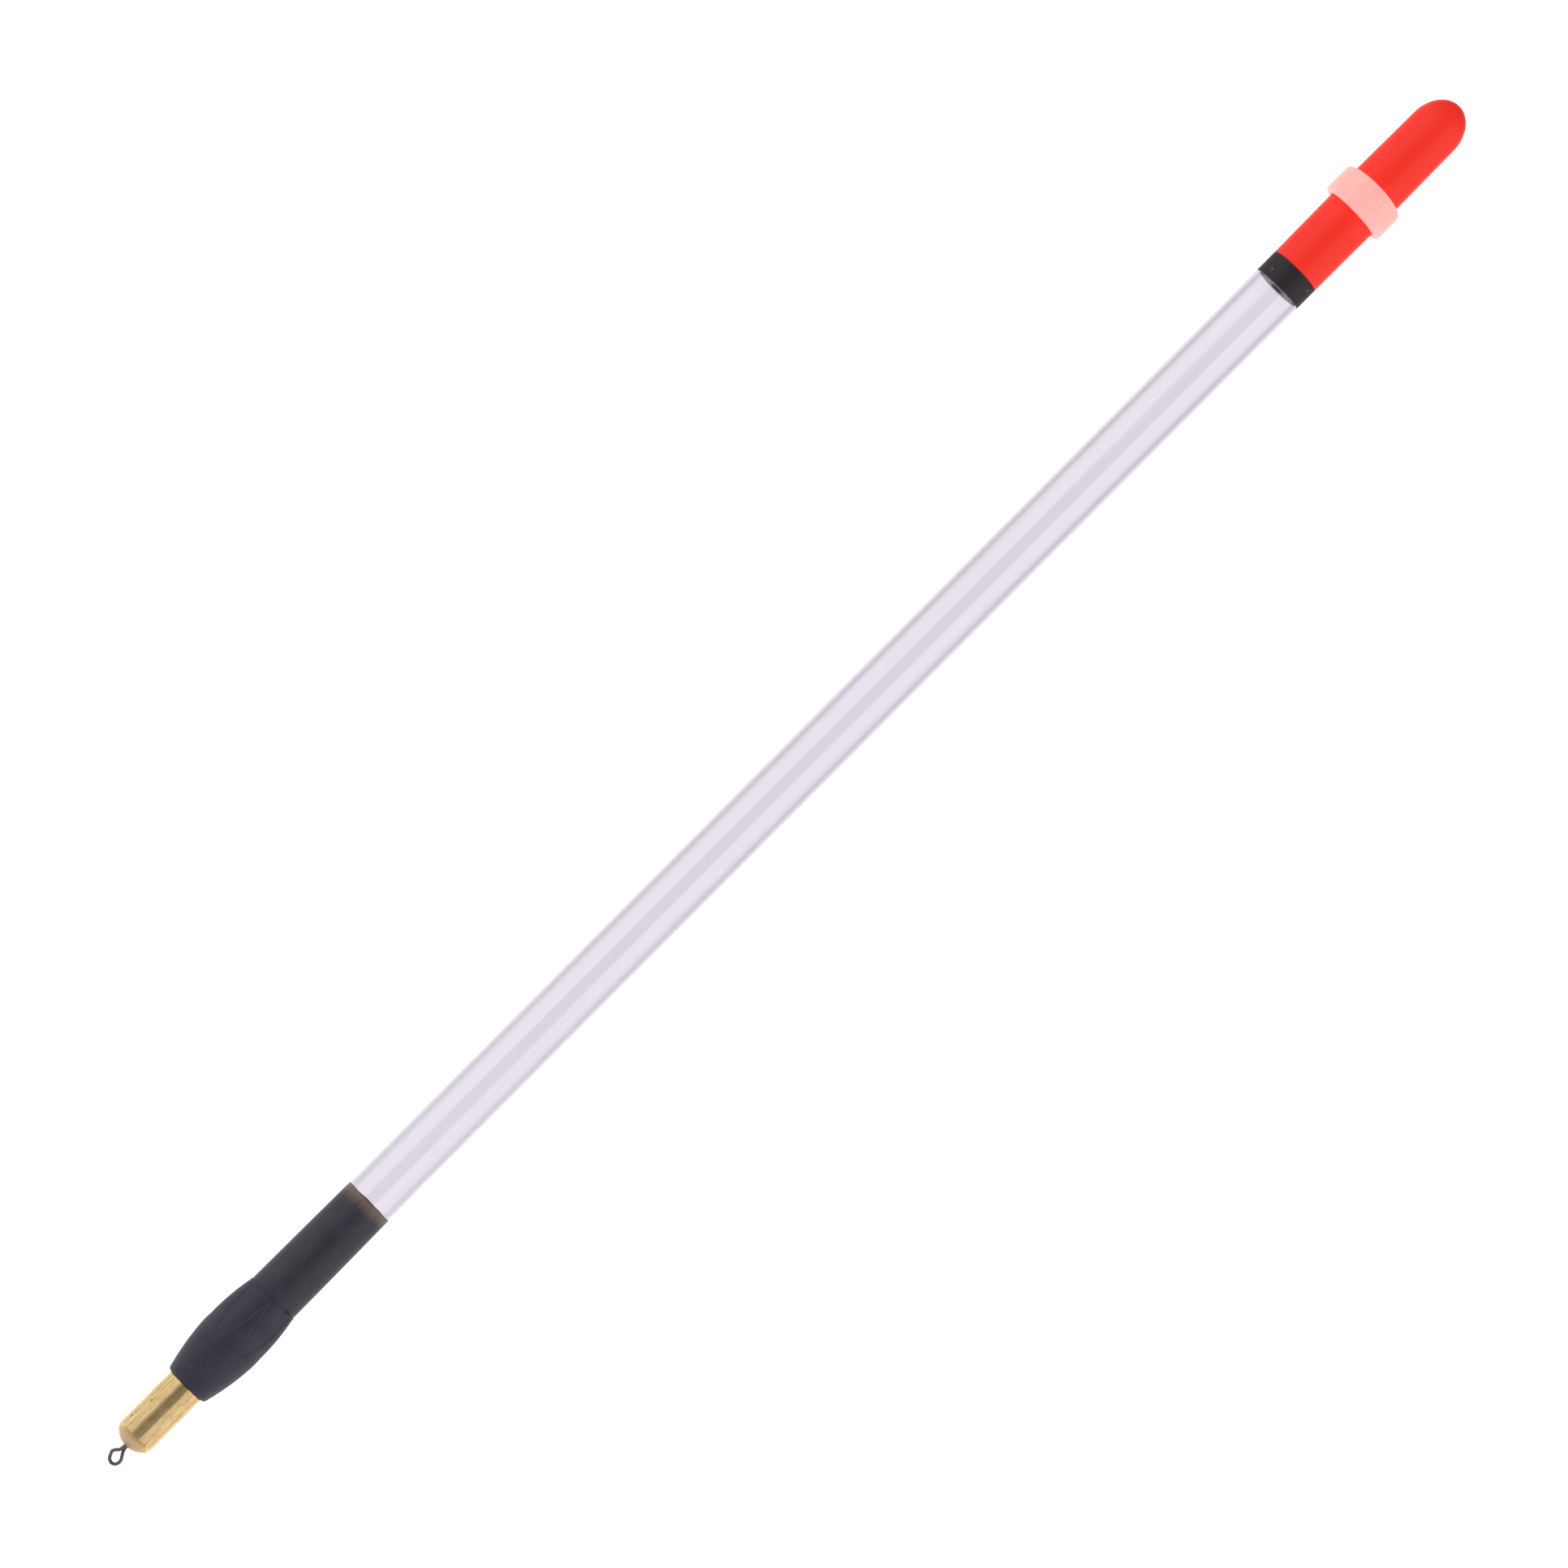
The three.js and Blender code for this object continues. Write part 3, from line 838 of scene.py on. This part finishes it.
def bulb_relief(azimuth, height, radius):
    """Hollows and lines go into the outer surface, and the rim dips at the notch."""
    degrees = np.degrees(azimuth)
    pitch = 360 / LEAVES
    turn = (degrees - HOLLOW_AZIMUTH + pitch / 2) % pitch - pitch / 2
    half = np.interp(height, HOLLOW_HEIGHTS, HOLLOW_HALF_WIDTHS)
    inside = (half - np.abs(turn)) * np.radians(radius)
    hollow = smooth_step(inside / EDGE_WIDTH + 0.5)
    crease = np.exp(-(((inside - 0.06) / 0.1) ** 2)) * smooth_step((height - 22.6) / 0.5)
    sweep = line_across(turn, height, radius, *SWEEP_LINE, LINE_WIDTH)
    drop = line_across(turn, height, radius, *DROP_LINE, LINE_WIDTH)
    cut = HOLLOW_DEPTH * hollow + 0.04 * crease + 0.045 * sweep + 0.035 * drop
    outside = smooth_step((radius - SLEEVE_RADIUS + 0.02) / 0.05) * smooth_step((32.0 - height) / 0.3)
    near_notch = np.exp(-((((degrees - NOTCH_AZIMUTH + 180) % 360 - 180) * np.radians(radius) / 0.42) ** 2))
    dip = 0.3 * near_notch * smooth_step((height - BULB_RIM + 0.7) / 0.7)
    return radius - cut * outside, height - dip


def gap_and_painted_shade(degrees, height, radius):
    """1 in the notch, and a fainter line on from it along the rim to the right, where the finishes paint
    near-black shade.
    """
    aside = (degrees - NOTCH_AZIMUTH) * np.radians(radius)
    notch = np.exp(-((aside / 0.4) ** 4) - ((height - NOTCH_HEIGHT) / 0.26) ** 4)
    along = smooth_step((degrees - NOTCH_AZIMUTH) / 6) * smooth_step((100 - degrees) / 12)
    gap = 0.8 * along * np.exp(-(((height - NOTCH_HEIGHT + 0.04) / 0.1) ** 2))
    return np.clip(notch + gap, 0, 1)


# %% [markdown]
# The bulb's side is two long arcs that meet at its widest height. The lower corner is round, and the rim
# is a thin lip against the sleeve.

# %% Bulb
BULB_WIDEST = 25.0
BULB_LOWER_ARC = 39.0
BULB_UPPER_ARC = 35.0
BULB_CORNER = 0.7
SOCKET_TOP = 24.2
WEB_TOP = 26.2
VENT_RADIUS = 0.8


def bulb_radius(height):
    """The arc's centre lies on the far side of the axis, so r = R - bend + sqrt(bend^2 - h^2)."""
    bend = np.where(height < BULB_WIDEST, BULB_LOWER_ARC, BULB_UPPER_ARC)
    return BULB_RADIUS - bend + np.sqrt(bend**2 - (height - BULB_WIDEST) ** 2)


corner_top = BULB_BOTTOM + BULB_CORNER
corner_radius = float(bulb_radius(corner_top)) - BULB_CORNER
bulb_heights = np.linspace(corner_top, BULB_RIM - 0.06, 230)[1:]
bulb_side = np.column_stack([bulb_radius(bulb_heights), bulb_heights])
bulb_inside = np.array(
    [
        (float(bulb_radius(BULB_RIM)) - 0.03, BULB_RIM),
        (SLEEVE_RADIUS + 0.05, BULB_RIM),
        (SLEEVE_RADIUS + 0.05, WEB_TOP),
        (VENT_RADIUS, WEB_TOP),
        (VENT_RADIUS, SOCKET_TOP),
        (SPIGOT_RADIUS + 0.05, SOCKET_TOP),
        (SPIGOT_RADIUS + 0.05, BULB_BOTTOM),
    ]
)
bulb_outline = np.vstack(
    [arc(corner_radius, corner_top, BULB_CORNER, -90, 0, 12), bulb_side, stepped(bulb_inside, 1.5, False)]
)
bulb = make_piece("bulb_rubber", turned(bulb_outline, 320, bulb_relief))
add_mark(bulb, gap_and_painted_shade)
settle(bulb, bulb_rubber, "float_body", "bulb_rubber", "base_bulb")

# %% [markdown]
# ## The sleeve
# A soft dark sleeve joins the bulb to the tube. It tapers along its whole length and ends in a feathered
# edge that is not quite level, so the top rows of its outline move up and down by a few slow waves.

# %% Sleeve
SLEEVE_BORE = 3.91
LIP_WALL = 0.06
SLEEVE_TAPER = [(38.0, 4.09), (43.5, 4.05), (SLEEVE_TOP - 0.05, SLEEVE_BORE + LIP_WALL)]


def sleeve_relief(azimuth, height, radius):
    """Three waves lift and lower the lip by a tenth of a millimetre, and a hollow lies behind the notch."""
    waves = np.sin(azimuth + 0.6) + 0.6 * np.sin(3 * azimuth + 2.1) + 0.5 * np.sin(7 * azimuth + 0.3)
    near_lip = smooth_step((height - SLEEVE_TOP + 4) / 4)
    degrees = (np.degrees(azimuth) + 180) % 360 - 180
    outer = smooth_step((radius - SLEEVE_BORE - 0.03) / 0.05)
    hollow = 0.12 * gap_and_painted_shade(degrees, height, radius) * outer
    return radius - hollow, height - near_lip * (0.12 + 0.05 * waves)


taper = np.array([(radius, height) for height, radius in SLEEVE_TAPER])
sleeve_outline = np.vstack(
    [
        [(SLEEVE_BORE, SLEEVE_BOTTOM), (SLEEVE_RADIUS, SLEEVE_BOTTOM), (SLEEVE_RADIUS, BULB_RIM)],
        [(SLEEVE_RADIUS - 0.005, BULB_RIM + 0.8)],
        taper,
        [(SLEEVE_BORE + LIP_WALL / 2, SLEEVE_TOP), (SLEEVE_BORE, SLEEVE_TOP - 0.03)],
    ]
)
sleeve = make_piece("sleeve_satin", turned(stepped(sleeve_outline, 0.16), 180, sleeve_relief))
add_mark(sleeve, gap_and_painted_shade)
settle(sleeve, sleeve_satin, "float_body", "sleeve_plastic", "lower_sleeve")

# %% [markdown]
# ## The clear tube
# It widens by a hair towards the top, and its outer and inner walls are one closed surface with squared
# ends, so that light bends through a wall of the right thickness. Two hundred millimetres of straight
# wall need few rows, but its many sides keep the streaks of light straight and clean.

# %% Clear tube
TUBE_RADIUS_LOW = 3.89
TUBE_WALL = 0.45
BAND_SEAT = 0.05
TAPER_BOTTOM = SLEEVE_TOP + 0.1
SEAT_BOTTOM = BAND_BOTTOM - 0.05
tube_outline = rounded(
    [
        (TUBE_RADIUS_LOW - TUBE_WALL, TUBE_BOTTOM, 0.04),
        (TUBE_RADIUS_LOW, TUBE_BOTTOM, 0.04),
        (TUBE_RADIUS_LOW, TAPER_BOTTOM, 0.5),
        (TUBE_RADIUS, SEAT_BOTTOM, 0.02),
        (TUBE_RADIUS - BAND_SEAT, SEAT_BOTTOM, 0.01),
        (TUBE_RADIUS - BAND_SEAT, TUBE_TOP, 0.04),
        (TUBE_RADIUS - TUBE_WALL, TUBE_TOP, 0.04),
        (TUBE_RADIUS - TUBE_WALL, SEAT_BOTTOM - 2, 0.5),
    ],
    3,
)
tube = make_piece("tube_clear", turned(stepped(tube_outline, 2.0), 180))
settle(tube, clear_plastic, "float_body", "clear_plastic", "float_tube")

# %% [markdown]
# ## Top plug and band
# The plug's flat underside shows through the tube as a grey oval just below the band, with the hollow of
# its moulding gate as a dark slit in the middle. Its pale colour there is painted light, standing in for
# the backdrop's light from below. The band itself is so thin that it lies level with the tube.

# %% Top plug
PLUG_FLANGE_TOP = TUBE_TOP - 0.3
SPIGOT_UP_RADIUS = 3.4
PLUG_BORE = 2.6
PLUG_FLOOR = 1.0
PLUG_FACE = min(PLUG_BOTTOM, BAND_BOTTOM - 0.2)
GATE_RADIUS = 1.35
GATE_DEPTH = 0.6
plug_outline = rounded(
    [
        (0.5, PLUG_FACE + GATE_DEPTH, 0.02),
        (GATE_RADIUS, PLUG_FACE + GATE_DEPTH, 0.1),
        (GATE_RADIUS, PLUG_FACE, 0.06),
        (PLUG_RADIUS, PLUG_FACE, 0.1),
        (PLUG_RADIUS, PLUG_FLANGE_TOP, 0.05),
        (SPIGOT_UP_RADIUS, PLUG_FLANGE_TOP, 0.05),
        (SPIGOT_UP_RADIUS, PLUG_TOP, 0.4),
        (PLUG_BORE, PLUG_TOP, 0.1),
        (PLUG_BORE, PLUG_BOTTOM + PLUG_FLOOR, 0.2),
        (0.5, PLUG_BOTTOM + PLUG_FLOOR, 0.02),
    ]
)
HALF_CORNER = 3  # the poles stand in for the inner half of the first and last corner
plug_outline = np.vstack(
    [
        [[0, PLUG_FACE + GATE_DEPTH]],
        plug_outline[HALF_CORNER:-HALF_CORNER],
        [[0, PLUG_BOTTOM + PLUG_FLOOR]],
    ]
)
plug = make_piece("top_plug_moulded", turned(stepped(plug_outline, 0.3, False), 120))


def underside_painted_light(degrees, height, radius):
    """1 where pale light is painted: the underside and the foot of its wall; 0 inside the gate's hollow and
    further up.
    """
    outside_gate = smooth_step((radius - GATE_RADIUS) / 0.06)
    return 0.8 * outside_gate * smooth_step((PLUG_FACE + 1.2 - height) / 0.3)


add_mark(plug, underside_painted_light)
settle(plug, plug_painted_light, "float_body", "plug_plastic", "top_plug")

# %% Black band
BAND_BORE = 4.0
CHIPS = [(-39.6, 239.6), (54.3, 241.06)]  # azimuth and height of two tiny chips
CHIP_SIZE = 0.11


def chip_mark(degrees, height, radius):
    """1 in the middle of each chip, falling off as a bell."""
    chips = [
        np.exp(-((np.radians(degrees - azimuth) * radius) ** 2 + (height - level) ** 2) / CHIP_SIZE**2)
        for azimuth, level in CHIPS
    ]
    return np.clip(sum(chips), 0, 1)


band_outline = rounded(
    [
        (BAND_BORE, BAND_BOTTOM, 0.01),
        (BAND_RADIUS, BAND_BOTTOM, 0.025),
        (BAND_RADIUS, BAND_TOP, 0.025),
        (BAND_BORE, BAND_TOP, 0.01),
    ],
    3,
)
band = make_piece("band_black", turned(stepped(band_outline, 0.1), 220))
add_mark(band, chip_mark)
settle(band, black_film, "float_body", "band_film", "top_band")

# %% [markdown]
# ## The sight tip
# A hollow cap with a bullet-shaped end. It swells by a tenth of a millimetre under the ring. The swelling
# is a smooth curve through four radii, which interpolation on a fine set of heights gives.

# %% Sight tip
TIP_FOOT_RADIUS = 4.065
DOME_BOTTOM = 270.8
DOME_RADIUS = 4.045
TIP_SWELL = [
    (TIP_FOOT_RADIUS, TIP_BOTTOM),
    (4.125, 249.0),
    (TIP_RADIUS, 258.0),
    (4.09, 265.0),
    (DOME_RADIUS, DOME_BOTTOM),
]
TIP_BORE = 3.45
TIP_WALL = 0.6
FOOT_BEVEL = 0.06
dome_height = TIP_TOP - DOME_BOTTOM
swell = smooth_path([(radius, height, 0) for radius, height in TIP_SWELL], 60)[:, :2]
swell[:, 0] = np.minimum(swell[:, 0], TIP_RADIUS)
foot = [
    (TIP_BORE, TIP_BOTTOM + FOOT_BEVEL),
    (TIP_BORE + FOOT_BEVEL, TIP_BOTTOM),
    (TIP_FOOT_RADIUS - FOOT_BEVEL, TIP_BOTTOM),
]
tip_outline = np.vstack(
    [
        arc(0, DOME_BOTTOM, DOME_RADIUS - TIP_WALL, 90, 0, 14, dome_height - TIP_WALL),
        foot,
        [(TIP_FOOT_RADIUS - 0.012, TIP_BOTTOM + 0.012)],
        swell[1:-1],
        arc(0, DOME_BOTTOM, DOME_RADIUS, 0, 90, 40, dome_height),
    ]
)
tip_outline[[0, -1], 0] = 0
tip = make_piece("tip_red", turned(stepped(tip_outline, 0.5, False), 180))
settle(tip, red_plastic, "tip", "red_plastic", "sight_tip")

# %% [markdown]
# ## The silicone ring
# A thick ring that grips the tip, cut from a length of tubing. Its upper end was cut askew, so that it
# stands higher at the front, and its lower end was cut nearly square and a little short. Leaning its
# heights over the radius, rather than turning the ring, keeps its bore round the tip.

# %% Silicone ring
RING_BORE = 4.225
RING_ROUND = 0.45
RING_LEAN_TOP = 0.11
RING_LEAN_BOTTOM = 0.0
RING_LEAN_RIGHT = -0.02
RING_LIFT = 0.6
RING_DROP = 0.3


def ring_relief(azimuth, height, radius):
    """Each point sinks by the drop, and rises by a share of the lift that is 1 at the lower end and 0 at
    the upper. It rises by the lean times its distance to the front as well, where the lean goes evenly
    from the lower end's to the upper end's, and by the lean to the right times its distance that way."""
    up = (height - RING_BOTTOM) / (RING_TOP - RING_BOTTOM)
    lean = RING_LEAN_BOTTOM * (1 - up) + RING_LEAN_TOP * up
    forward = radius * np.cos(azimuth)
    right = radius * np.sin(azimuth)
    return radius, height - RING_DROP + RING_LIFT * (1 - up) + lean * forward + RING_LEAN_RIGHT * right


ring_outline = rounded(
    [
        (RING_BORE, RING_BOTTOM, 0.12),
        (RING_RADIUS, RING_BOTTOM, RING_ROUND),
        (RING_RADIUS, RING_TOP, RING_ROUND),
        (RING_BORE, RING_TOP, 0.12),
    ],
    10,
)
ring = make_piece("ring_silicone", turned(stepped(ring_outline, 0.3), 160, ring_relief))
settle(ring, silicone, "ring", "silicone", "tip_ring")

# %% [markdown]
# ## What stays as the frame has it
# The swivel's barrel and the lower plug sit deep inside, where their shape in the frame is enough. They
# only need a real finish.


# %% Inner pieces
def refinish(node, material):
    """Puts a finish on a piece of the frame."""
    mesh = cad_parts[node].data
    mesh.materials.clear()
    mesh.materials.append(material)
    print(node, "keeps its shape and is now", material.name)


refinish("swivel_barrel", barrel_brass)
refinish("lower_plug", plug_plastic)

# %% [markdown]
# ## Stage
# A pale sweep of floor and wall, well behind the float so that no shadow falls on it. The part behind
# the float is lit as brightly as the lamps. Nearer the camera, and out to the sides, it is darker, so that
# the front and the edges of the float have something darker to mirror.

# %% Floor and backdrop
FLOOR = -0.03
NEAR_END = -4.0
SWEEP_START = 1.6
SWEEP_RADIUS = 1.0
WALL_TOP = 2.4
HALF_WIDTH = 4.0
angle = np.linspace(0, np.pi / 2, 24)
profile = np.column_stack(
    [
        np.concatenate(
            [[NEAR_END], SWEEP_START + SWEEP_RADIUS * np.sin(angle), [SWEEP_START + SWEEP_RADIUS]]
        ),
        np.concatenate([[FLOOR], FLOOR + SWEEP_RADIUS * (1 - np.cos(angle)), [WALL_TOP]]),
    ]
)
left = np.column_stack([np.full(len(profile), -HALF_WIDTH), profile])
right = np.column_stack([np.full(len(profile), HALF_WIDTH), profile])
count = len(profile)
index = np.arange(count - 1)
sweep_faces = np.column_stack([index, index + count, index + count + 1, index + 1]).tolist()
sweep_mesh = bpy.data.meshes.new("sweep")
sweep_mesh.from_pydata(np.vstack([left, right]).tolist(), [], sweep_faces)
sweep = bpy.data.objects.new("sweep", sweep_mesh)
bpy.context.scene.collection.objects.link(sweep)

paper, tree, shader, place = finish("seamless_white_paper")
spot = add(tree, "ShaderNodeSeparateXYZ", {}, {"Vector": place})
sideways = add(tree, "ShaderNodeMath", {"operation": "ABSOLUTE"}, {0: spot.outputs["X"]})
narrow = add(
    tree,
    "ShaderNodeMapRange",
    {"interpolation_type": "SMOOTHSTEP"},
    {"Value": sideways.outputs[0], "From Min": 0.42, "From Max": 0.85, "To Min": 1.0, "To Max": 0.72},
)
lit = add(
    tree,
    "ShaderNodeMapRange",
    {"interpolation_type": "SMOOTHSTEP"},
    {"Value": spot.outputs["Y"], "From Min": -0.1, "From Max": 0.16, "To Min": 0.06, "To Max": 0.9},
)
shader.inputs["Base Color"].default_value = linear("#DCDCDC")
shader.inputs["Roughness"].default_value = 0.9
shader.inputs["Emission Color"].default_value = (1.0, 1.0, 1.0, 1.0)
glow = add(tree, "ShaderNodeMath", {"operation": "MULTIPLY"}, {0: lit.outputs[0], 1: narrow.outputs[0]})
tree.links.new(glow.outputs[0], shader.inputs["Emission Strength"])
sweep.data.materials.append(paper)
print("floor at", FLOOR, "m, wall", SWEEP_START + SWEEP_RADIUS, "m behind")

# %% [markdown]
# ## Light
# Two tall soft panels stand either side, from 27 degrees off the camera round to just past the side. On a
# round float that puts a bright band on each flank and leaves a soft darker stripe down the middle. The
# dim world fills that stripe.

# %% Lamps
PANEL_AZIMUTH = 63.0
PANEL_DISTANCE = 0.75
PANEL_WIDTH = 1.1
PANEL_HEIGHT = 1.2
PANEL_RADIANCE = 1.0


def soft_panel(name, azimuth):
    """A rectangular lamp at this azimuth that faces the float. Its power is pi times area times radiance."""
    lamp = bpy.data.lights.new(name, "AREA")
    lamp.shape = "RECTANGLE"
    lamp.size = PANEL_WIDTH
    lamp.size_y = PANEL_HEIGHT
    lamp.energy = math.pi * PANEL_WIDTH * PANEL_HEIGHT * PANEL_RADIANCE
    holder = bpy.data.objects.new(name, lamp)
    turn = math.radians(azimuth)
    holder.location = (
        PANEL_DISTANCE * math.sin(turn),
        -PANEL_DISTANCE * math.cos(turn),
        FLOOR + PANEL_HEIGHT / 2 + 0.01,
    )
    facing = Vector((-math.sin(turn), math.cos(turn), 0))
    holder.rotation_euler = facing.to_track_quat("-Z", "Y").to_euler()
    holder.visible_camera = False
    bpy.context.scene.collection.objects.link(holder)
    return holder


soft_panel("panel_right", PANEL_AZIMUTH)
soft_panel("panel_left", -PANEL_AZIMUTH)
world = bpy.data.worlds.new("studio")
world.use_nodes = True
background = world.node_tree.nodes["Background"]
background.inputs["Color"].default_value = linear("#FAFAFF")
background.inputs["Strength"].default_value = 0.11
bpy.context.scene.world = world
bpy.context.scene.view_settings.view_transform = "Standard"
print("two panels of radiance", PANEL_RADIANCE)

# %% [markdown]
# ## Camera
# A long lens from below the middle of the float, looking up by three degrees, and rolled so that the
# float lies from the lower left to the upper right corner.

# %% Camera
DISTANCE = 1.47
RISE = math.radians(3.0)
LENS = 233.15
AIM = Vector((-0.06, 0.0, 136.73)) * MM
ROLL_RIGHT = 0.70537
ROLL_UP = 0.70884
back = Vector((0, -math.cos(RISE), -math.sin(RISE)))
along_float = Vector((0, -math.sin(RISE), math.cos(RISE)))
across_float = Vector((1, 0, 0))
right_axis = across_float * ROLL_UP + along_float * ROLL_RIGHT
up_axis = along_float * ROLL_UP - across_float * ROLL_RIGHT
turn = Matrix((right_axis, up_axis, back)).transposed()
camera = bpy.data.objects.new("camera", bpy.data.cameras.new("camera"))
camera.data.lens = LENS
camera.data.sensor_width = 36.0
camera.data.clip_start = 0.01
camera.data.clip_end = 50.0
camera.matrix_world = Matrix.Translation(AIM + back * DISTANCE) @ turn.to_4x4()
bpy.context.scene.collection.objects.link(camera)
bpy.context.scene.camera = camera
print("camera at", [round(x, 3) for x in camera.matrix_world.translation])
